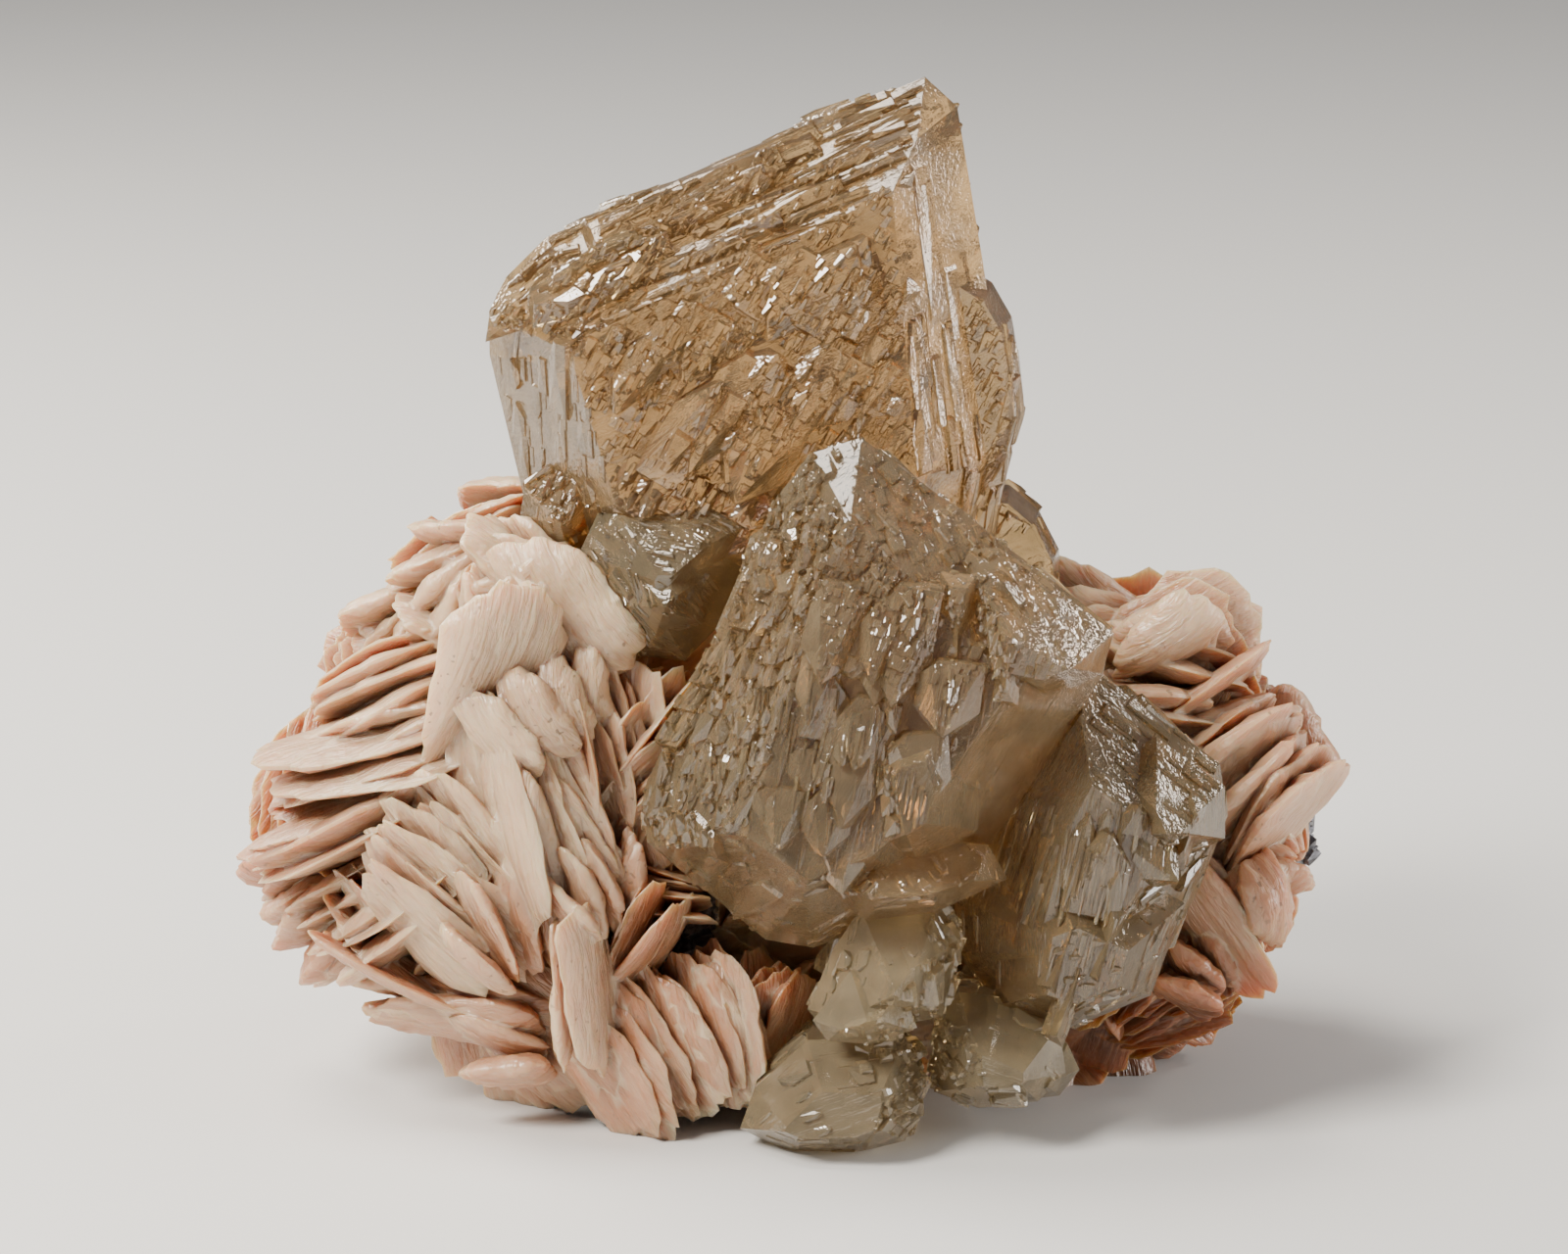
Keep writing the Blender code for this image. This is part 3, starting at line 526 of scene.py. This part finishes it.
def face_points(obj, crust, dice):
    """Random points on the faces that a crust grows on, with their normals."""
    facing = Vector(crust.facing).normalized()
    obj.data.calc_loop_triangles()
    corners, normals, areas = [], [], []
    for triangle in obj.data.loop_triangles:
        level = triangle.center.z / MM
        if triangle.normal.dot(facing) >= crust.within and crust.low <= level <= crust.high:
            corners.append([obj.data.vertices[i].co for i in triangle.vertices])
            normals.append(triangle.normal)
            areas.append(triangle.area)
    if not areas:
        raise RuntimeError(f"{obj.name} has no face towards {crust.facing}")
    for pick in dice.choices(range(len(areas)), weights=areas, k=crust.count):
        u, v = sorted((dice.random(), dice.random()))
        a, b, c = corners[pick]
        yield a * u + b * (v - u) + c * (1 - v), normals[pick]


def surface_tree(obj):
    shape = bmesh.new()
    shape.from_mesh(obj.data)
    tree = BVHTree.FromBMesh(shape)
    shape.free()
    return tree


def footprint(tree, place, length, width):
    """The largest share of a growth's footprint whose corners all lie on the crystal, or nothing."""
    for share in (1, 0.6, 0.36):
        ends = [place @ Vector((x * length * share, y * width * share, 0)) for x in (-0.5, 0.5) for y in (-0.5, 0.5)]
        if all(tree.find_nearest(end)[3] < OVERHANG * MM for end in ends):
            return share
    return 0


def grow_crust(obj, crust, source, dice):
    """The growths of one crust, each a copy of the source set parallel to its face and to the grain."""
    grain = Vector(crust.grain).normalized()
    tree = surface_tree(obj)
    made = []
    for point, normal in face_points(obj, crust, dice):
        scale = dice.lognormvariate(0, 0.42)
        length, width, height = (dice.uniform(0.7, 1.35) * scale * part * MM for part in crust.size)
        axes = frame_of(normal, grain * dice.choice((-1, 1, 1, 1)))
        tilt = Matrix.Rotation(dice.gauss(0, 0.03), 3, "Z") @ Matrix.Rotation(dice.gauss(0, 0.04), 3, "X")
        place = Matrix.Translation(point) @ (axes @ tilt).to_4x4()
        share = footprint(tree, place, length, width)
        if not share:
            continue
        mesh = source.data.copy()
        size = (length * share / 2, width * share / 2, height * share ** 0.5, 1)
        mesh.transform(place @ Matrix.Diagonal(size))
        made.append(bpy.data.objects.new("growth", mesh))
    return made


def cerussite_finish(node, grain):
    """Smoky, glassy crystal: striated along the grain, frosted in patches, brown in its depth."""
    settings = bpy.context.scene.specimen_cerussite
    look = LOOKS[node]
    finish = Finish(f"{node}_smoky", transmission_weight=settings.clearness - look.milk, ior=settings.refraction)
    turn = (0, -math.atan2(grain[2], grain[0]), 0)
    point = finish.place()
    rough = finish.noise(point, 150, 1).above(0.38, 0.60)
    patches = rough * look.frost
    lines = finish.noise(finish.place(turn, (12, 1, 1)), 1700, 2, 0.7)
    grains = finish.noise(point, 2600, 1, 0.7)
    relief = lines * (rough * 0.8 + 0.2) * look.striae + grains * patches * 0.5
    finish.feed("Normal", finish.bump(relief, 0.6, 0.00022))
    clouds = finish.noise(point, 330, 2, 0.6)
    finish.feed("Roughness", patches * 0.14 + clouds * 0.10)
    tint = Vector(look.tint)
    pale = (*(tint * 0.80 + Vector((0.16, 0.13, 0.09))), 1)
    dark = (*(tint * 0.70), 1)
    # Painted shade in the hollows: where the piece hides much of the open air round a point, the base colour is
    # mixed up to halfway towards a darker half of the tint.
    hollow = finish.attribute("hollow")
    body = finish.mix(clouds.above(0.35, 0.7), dark, finish.mix(patches, (*tint, 1), pale))
    finish.feed("Base Color", finish.mix(hollow.above(0.15, 0.8) * 0.5, body, (*(tint * 0.5), 1)))
    depth = finish.node("ShaderNodeVolumeAbsorption", 0, {}, {
        "Color": (*settings.body_colour, 1), "Density": settings.body_density * look.depth})
    finish.tree.links.new(depth.socket, finish.output.inputs["Volume"])
    return finish


def mark_hollow_shade(obj, reach):
    """Writes to each point the share of the open air round it that the piece itself hides within the reach, for
    painted shade.
    """
    mesh = obj.data
    tree = surface_tree(obj)
    slopes = [Vector((math.cos(a) * 0.8, math.sin(a) * 0.8, 0.6)) for a in (0.3, 1.56, 2.81, 4.07, 5.33)]
    slopes.append(Vector((0, 0, 1)))
    hidden = np.zeros(len(mesh.vertices))
    for vertex in mesh.vertices:
        turn = vertex.normal.to_track_quat("Z", "X")
        start = vertex.co + vertex.normal * reach * 0.02
        hits = sum(tree.ray_cast(start, turn @ slope, reach)[0] is not None for slope in slopes)
        hidden[vertex.index] = hits / len(slopes)
    ends = np.empty(len(mesh.edges) * 2, np.int32)
    mesh.edges.foreach_get("vertices", ends)
    first, second = ends.reshape(-1, 2).T
    degree = np.bincount(ends, minlength=len(hidden)) + 1
    for _ in range(2):
        total = hidden + np.bincount(first, hidden[second], len(hidden))
        hidden = (total + np.bincount(second, hidden[first], len(hidden))) / degree
    marks = mesh.attributes.new("hollow", "FLOAT", "POINT")
    marks.data.foreach_set("value", hidden.astype(np.float32))


class SPECIMEN_OT_cerussite(bpy.types.Operator):
    """Builds every cerussite crystal from its solid and its crusts of small parallel growths"""

    bl_idname = "specimen.cerussite"
    bl_label = "Cerussite crystals"

    def execute(self, context):
        share = context.scene.specimen_cerussite.crust_density
        sources = {shape: modelled_growth(shape) for shape in ("slab", "roof", "shield")}
        for node, crusts in CRUSTS.items():
            dice = random.Random(node)
            crystal = solid_copy(node, node.replace("cerussite", "crystal"))
            fuse(crystal, [plate(sources["shield"], *spot) for name, *spot in PLATES if name == node])
            for crust in crusts:
                sparse = crust._replace(count=int(crust.count * share))
                fuse(crystal, grow_crust(crystal, sparse, sources[crust.shape], dice))
            if node.startswith("foot"):
                trim_flat(crystal)
            mark_hollow_shade(crystal, 1.5 * MM)
            set_out(crystal, node, cerussite_finish(node, crusts[1].grain))
        remove(*sources.values())
        return {"FINISHED"}


def turn_matrix(heading, tilt, roll):
    """Turns a blade whose long axis is +X and whose normal is -Y."""
    return (Matrix.Rotation(math.radians(-heading), 3, "Y")
            @ Matrix.Rotation(math.radians(-tilt), 3, "Z")
            @ Matrix.Rotation(math.radians(roll), 3, "X"))


def modelled_blade(segments, rings):
    """A plain round blade of radius one, flat across Y, that every barite blade is shaped from."""
    deselect_all()
    bpy.ops.mesh.primitive_uv_sphere_add(segments=segments, ring_count=rings, rotation=(math.pi / 2, 0, 0))
    bpy.ops.object.transform_apply(rotation=True)
    return bpy.context.object


def waves(angle, dice, counts, heights):
    """A sum of sine waves round a circle, each at a random phase."""
    return sum(h * np.sin(n * angle + dice.uniform(0, WHOLE_TURN)) for n, h in zip(counts, heights))


def shaped_blade(plain, fan, size, dice):
    """A blade's mesh in millimetres: scalloped rim, flutes that fan out from its root, and a gentle bend."""
    mesh = plain.data.copy()
    round_points = np.empty(len(mesh.vertices) * 3)
    mesh.vertices.foreach_get("co", round_points)
    x, y, z = round_points.reshape(-1, 3).T
    reach = np.hypot(x, z)
    angle = np.arctan2(z, x)
    square = (np.abs(np.cos(angle)) ** 2.5 + np.abs(np.sin(angle)) ** 2.5) ** (-1 / 2.5)
    rim = square * (1 + waves(angle, dice, (2, 3, 5, 8, 13, 19), (0.05, 0.05, 0.04, 0.035, 0.028, 0.018)))
    wide, tall = reach * np.cos(angle) * rim * 0.96, reach * np.sin(angle) * rim * 0.94
    tall = tall * (1 + 0.18 * wide)
    length, width, thickness = size
    ray = np.arctan2(tall, wide + 1.9)
    flutes = sum(
        depth * (1 - 2 * np.abs(np.mod(ray * count + 0.15 * np.sin(3 * wide + dice.uniform(0, 6))
                                       + dice.random(), 1) * 2 - 1))
        for count, depth in ((3.1, 0.16), (6.3, 0.13), (11.0, 0.08)))
    profile = (1 - reach ** 2.4).clip(0) ** 0.62
    swell = 1 + waves(wide * 2.2 + tall, dice, (1, 2), (0.14, 0.08))
    half = thickness / 2 * (profile * swell + fan.flute * flutes * reach * np.minimum(1, 2.5 * profile))
    bend = 0.055 * length * (dice.uniform(-1, 1) * wide ** 2 + dice.uniform(-1, 1) * wide * tall
                             + dice.uniform(-0.8, 0.8) * tall ** 2 + 0.25 * np.sin(4 * tall + dice.uniform(0, 6)))
    points = np.stack((wide * length / 2, np.sign(y) * half + bend, tall * width / 2), axis=1)
    mesh.vertices.foreach_set("co", points.ravel())
    rims = mesh.attributes.new("rim", "FLOAT", "POINT")
    rims.data.foreach_set("value", (reach ** 4).astype(np.float32))
    stains = mesh.attributes.new("stain", "FLOAT", "POINT")
    stain = fan.stain + dice.uniform(-0.15, 0.15)
    stains.data.foreach_set("value", np.full(len(x), stain, np.float32))
    ends = np.empty(len(mesh.loops), np.int32)
    mesh.loops.foreach_get("vertex_index", ends)
    flat = np.stack((points[ends, 0] + dice.uniform(0, 90), points[ends, 2] + dice.uniform(0, 90)), axis=1)
    mesh.uv_layers[0].data.foreach_set("uv", flat.ravel() / 10)
    return mesh


def fan_blades(name, fan, plain, stoutness):
    """The blades of one fan, each stacked blade split into thinner sheets."""
    dice = random.Random(name)
    length, width, thickness = fan.size
    heading, tilt, roll = fan.turn
    count = fan.count * fan.sheets
    made = []
    for i in range(count):
        step = (i - (count - 1) / 2) / fan.sheets + dice.uniform(-0.12, 0.12)
        turn = turn_matrix(heading + fan.spread * step + dice.gauss(0, 4), tilt + dice.gauss(0, 4),
                           roll + dice.gauss(0, 5))
        scale = dice.uniform(0.80, 1.06)
        place = (Vector(fan.at) + turn @ Vector((0, -1, 0)) * fan.pitch * step
                 + turn @ Vector((0, 0, 1)) * (fan.slip * step + dice.uniform(-0.06, 0.06) * width)
                 + turn @ Vector((1, 0, 0)) * dice.uniform(-0.07, 0.05) * length)
        size = (length * scale, width * scale * dice.uniform(0.85, 1.06),
                thickness * stoutness * dice.uniform(0.9, 1.1 + 0.3 * fan.sheets) / fan.sheets)
        made.append(placed_blade(plain, fan, size, dice, place, turn, name))
    return made


def druse(name, centre, radii, count, plain):
    """Small blades that stand out all over a rounded lump."""
    dice = random.Random(f"{name} {centre}")
    made = []
    for _ in range(count):
        outward = Vector([dice.gauss(0, 1) for _ in range(3)]).normalized()
        point = Vector(centre) + Vector([a * b * 0.97 for a, b in zip(outward, radii)])
        if point.z < 1:
            continue
        leaning = (outward + Vector([dice.gauss(0, 0.35) for _ in range(3)])).normalized()
        turn = leaning.to_track_quat("X", "Y").to_matrix() @ Matrix.Rotation(dice.uniform(0, math.pi), 3, "X")
        size = (dice.uniform(6, 11), dice.uniform(5, 9), dice.uniform(1.1, 2.0))
        made.append(placed_blade(plain, SMALL, size, dice, point, turn, name))
    return made


def placed_blade(plain, fan, size, dice, place, turn, name):
    mesh = shaped_blade(plain, fan, size, dice)
    mesh.transform(Matrix.Scale(MM, 4) @ Matrix.Translation(place) @ turn.to_4x4())
    return bpy.data.objects.new(name, mesh)


def lump(plain, centre, radii):
    """A rounded lump of matrix, made from the same plain round that the blades are."""
    mesh = plain.data.copy()
    stains = mesh.attributes.new("stain", "FLOAT", "POINT")
    stains.data.foreach_set("value", np.full(len(mesh.vertices), LUMP_STAIN, np.float32))
    mesh.attributes.new("rim", "FLOAT", "POINT")
    mesh.transform(Matrix.Scale(MM, 4) @ Matrix.Translation(centre) @ Matrix.Diagonal((*radii, 1)))
    return bpy.data.objects.new("lump", mesh)


def clearance(node):
    """A crystal's solid, swollen a little, to cut the matrix back from it."""
    cutter = solid_copy(node, "cutter")
    modifier = cutter.modifiers.new("swell", "DISPLACE")
    modifier.strength = 0.15 * MM
    modifier.mid_level = 0
    only(cutter)
    bpy.ops.object.modifier_apply(modifier=modifier.name)
    bpy.context.scene.collection.objects.unlink(cutter)
    return cutter


def barite_finish():
    """Waxy barite: stains by blade and patch, feathered along each blade, paler and sharper at the rims."""
    settings = bpy.context.scene.specimen_barite
    finish = Finish("barite_waxy", subsurface_weight=0.6, subsurface_radius=(1.0, 0.45, 0.22),
                    subsurface_scale=0.0034, ior=1.64, roughness=0.4)
    point = finish.place()
    blade_map = finish.node("ShaderNodeUVMap", 0, {}, {})
    feathers = finish.noise(
        finish.node("ShaderNodeMapping", 0, {}, {"Vector": blade_map, "Scale": (0.16, 1, 1)}), 17, 3, 0.6, 0.4)
    patches = finish.noise(point, 95, 2)
    fine = finish.noise(point, 900, 2, 0.6)
    rim = finish.attribute("rim")
    hollow = finish.attribute("hollow")
    across = finish.node("ShaderNodeSeparateXYZ", 0, {}, {0: point})
    height = finish.node("ShaderNodeSeparateXYZ", 2, {}, {0: point})
    rusty = across.above(0.012, 0.024) * (1 - height.above(0.003, 0.014))
    # Painted shade: the hollows push the colour along the stain ramp towards orange and rust, darker in the
    # recesses.
    stain = (finish.attribute("stain") + rusty * 1.7 + (patches - 0.5) * 2.8 + (feathers - 0.5) * 1.3 - rim * 0.3
             + hollow * 1.2 - 0.25)
    colour = finish.node("ShaderNodeValToRGB", 0, {"stops": (
        (0.0, settings.white), (0.36, settings.pink), (0.70, settings.orange), (1.0, settings.rust))},
        {0: stain * 0.3333 + 0.02})
    specks = finish.noise(point, 1500, 1).above(0.67, 0.71)
    speckled = finish.mix(specks * patches.above(0.5, 0.6) * 0.7, colour, (0.16, 0.09, 0.05, 1))
    # Painted shade in the hollows: the colour is mixed towards dark brown by up to 0.55 where the piece hides the
    # open air round a point.
    finish.feed("Base Color", finish.mix(hollow * 0.55, speckled, (0.20, 0.10, 0.05, 1)))
    relief = feathers * 0.8 + fine * 0.35
    finish.feed("Normal", finish.bump(relief, 0.9, 0.0006))
    finish.feed("Roughness", fine * 0.25 + 0.24)
    return finish


class SPECIMEN_OT_barite(bpy.types.Operator):
    """Builds the bladed barite matrix in three fused parts"""

    bl_idname = "specimen.barite"
    bl_label = "Barite matrix"

    def execute(self, context):
        thickness = context.scene.specimen_barite.thickness
        finish = barite_finish()
        plain = modelled_blade(36, 11)
        small = modelled_blade(20, 9)
        for side, fans in FANS.items():
            first, *others = [lump(plain, *place) for place in LUMPS[side]]
            for name, fan in fans.items():
                others += fan_blades(name, fan, plain, thickness)
            for place in LUMPS[side]:
                others += druse(side, *place, DRUSE_COUNT[side], small)
            matrix = new_object(f"barite_{side}", first.data)
            bpy.data.objects.remove(first)
            fuse(matrix, others)
            fuse(matrix, [clearance(node) for node in CRUSTS], "DIFFERENCE")
            trim_flat(matrix)
            mark_hollow_shade(matrix, 5 * MM)
            matrix.data.shade_smooth()
            only(matrix)
            bpy.ops.object.shade_smooth_by_angle(angle=math.radians(38))
            set_out(matrix, "barite_matrix", finish)
        remove(plain, small)
        return {"FINISHED"}


def trim_flat(obj):
    """Cuts the piece off level with the underside that it stands on."""
    only(obj)
    bpy.ops.object.mode_set(mode="EDIT")
    bpy.ops.mesh.select_all(action="SELECT")
    bpy.ops.mesh.bisect(plane_co=(0, 0, 0.02 * MM), plane_no=(0, 0, -1), clear_outer=True, use_fill=True,
                        threshold=0.0005 * MM)
    bpy.ops.object.mode_set(mode="OBJECT")


def galena_finish():
    """Dull lead-grey metal with bright cleavage flecks."""
    settings = bpy.context.scene.specimen_galena
    finish = Finish("galena_grey", metallic=0.9)
    point = finish.place()
    flecks = finish.noise(point, 1400, 4, 0.7)
    finish.feed("Base Color", finish.mix(flecks.above(0.5, 0.75), (*settings.colour, 1), (0.35, 0.35, 0.38, 1)))
    finish.feed("Roughness", flecks * 0.5 + 0.12)
    finish.feed("Normal", finish.bump(flecks, 0.6, 0.0002))
    return finish


class SPECIMEN_OT_galena(bpy.types.Operator):
    """Builds the galena grains from small cleaved cubes"""

    bl_idname = "specimen.galena"
    bl_label = "Galena grains"

    def execute(self, context):
        finish = galena_finish()
        for node, (count, edge) in GALENA.items():
            dice = random.Random(node)
            grain = solid_copy(node, node.replace("galena", "galena_grain"))
            crust = Crust((0, -1, 0), -1.0, (1, 0.2, 0.4), count, (edge, edge, edge * 0.4))
            source = modelled_growth("slab")
            fuse(grain, grow_crust(grain, crust, source, dice))
            remove(source)
            set_out(grain, node, finish)
        return {"FINISHED"}


def area_light(name, place, aim, size, power, colour):
    light = bpy.data.lights.new(name, "AREA")
    light.size = size
    light.energy = power
    light.color = colour
    lamp = bpy.data.objects.new(name, light)
    bpy.context.scene.collection.objects.link(lamp)
    lamp.location = place
    lamp.rotation_mode = "QUATERNION"
    lamp.rotation_quaternion = (Vector(aim) - Vector(place)).to_track_quat("-Z", "Y")
    return lamp


class SPECIMEN_OT_stage(bpy.types.Operator):
    """Sets out the pale floor, the soft studio lights and the camera"""

    bl_idname = "specimen.stage"
    bl_label = "Studio"

    def execute(self, context):
        settings = context.scene.specimen_stage
        deselect_all()
        bpy.ops.mesh.primitive_plane_add(size=6, location=(0, 0, 0))
        floor = context.object
        floor.name = "studio_floor"
        finish = Finish("floor_pale", base_color=(*settings.floor_colour, 1), roughness=0.6)
        floor.data.materials.append(finish.material)
        world = bpy.data.worlds.new("studio_room")
        world.use_nodes = True
        background = world.node_tree.nodes["Background"]
        background.inputs["Color"].default_value = (0.93, 0.95, 1.0, 1)
        background.inputs["Strength"].default_value = settings.sky_strength
        context.scene.world = world
        middle = (0, 0, 0.035)
        warm, neutral = (1.0, 0.94, 0.86), (1.0, 0.97, 0.94)
        area_light("key", (-0.34, -0.28, 0.46), middle, 0.20, settings.key_power, warm)
        area_light("top", (-0.24, 0.05, 0.56), middle, 0.28, settings.rim_power, warm)
        area_light("side", (0.55, -0.08, 0.14), middle, 0.26, settings.rim_power * 0.8, neutral)
        for name, place, size, share in (("rim_left", (-0.42, 0.26, 0.26), 0.18, 0.8),
                                         ("rim_right", (0.42, 0.20, 0.30), 0.10, 0.14)):
            rim = area_light(name, place, middle, size, settings.rim_power * share, warm)
            rim.visible_transmission = False
        camera = bpy.data.cameras.new("camera")
        camera.lens = settings.lens
        camera.sensor_width = 36
        camera.clip_start = 0.01
        camera.clip_end = 20
        viewpoint = bpy.data.objects.new("camera", camera)
        context.scene.collection.objects.link(viewpoint)
        back = Vector((0, -math.cos(settings.elevation), math.sin(settings.elevation)))
        viewpoint.location = Vector((-1.67, -8.0, 39.56)) * MM + back * settings.distance
        viewpoint.rotation_mode = "QUATERNION"
        viewpoint.rotation_quaternion = (-back).to_track_quat("-Z", "Y")
        context.scene.camera = viewpoint
        return {"FINISHED"}


class SPECIMEN_PT_sidebar(bpy.types.Panel):
    """Lists the pieces of the specimen and their settings"""

    bl_label = "Specimen"
    bl_space_type = "VIEW_3D"
    bl_region_type = "UI"
    bl_category = "Specimen"

    def draw(self, context):
        for operator, group in PIECES:
            box = self.layout.box()
            box.operator(operator.bl_idname)
            settings = getattr(context.scene, group)
            for name in settings.__annotations__:
                box.prop(settings, name)


PIECES = (
    (SPECIMEN_OT_stage, "specimen_stage"),
    (SPECIMEN_OT_cerussite, "specimen_cerussite"),
    (SPECIMEN_OT_barite, "specimen_barite"),
    (SPECIMEN_OT_galena, "specimen_galena"),
)
SETTINGS = {
    "specimen_stage": StageSettings,
    "specimen_cerussite": CerussiteSettings,
    "specimen_barite": BariteSettings,
    "specimen_galena": GalenaSettings,
}
CLASSES = (*SETTINGS.values(), *(operator for operator, _ in PIECES), SPECIMEN_PT_sidebar)


def register():
    for cls in CLASSES:
        bpy.utils.register_class(cls)
    for name, group in SETTINGS.items():
        setattr(bpy.types.Scene, name, PointerProperty(type=group))


def unregister():
    for name in SETTINGS:
        delattr(bpy.types.Scene, name)
    for cls in reversed(CLASSES):
        bpy.utils.unregister_class(cls)


def main():
    register()
    bpy.ops.specimen.stage()
    bpy.ops.specimen.cerussite()
    bpy.ops.specimen.barite()
    bpy.ops.specimen.galena()


if __name__ == "__main__":
    main()
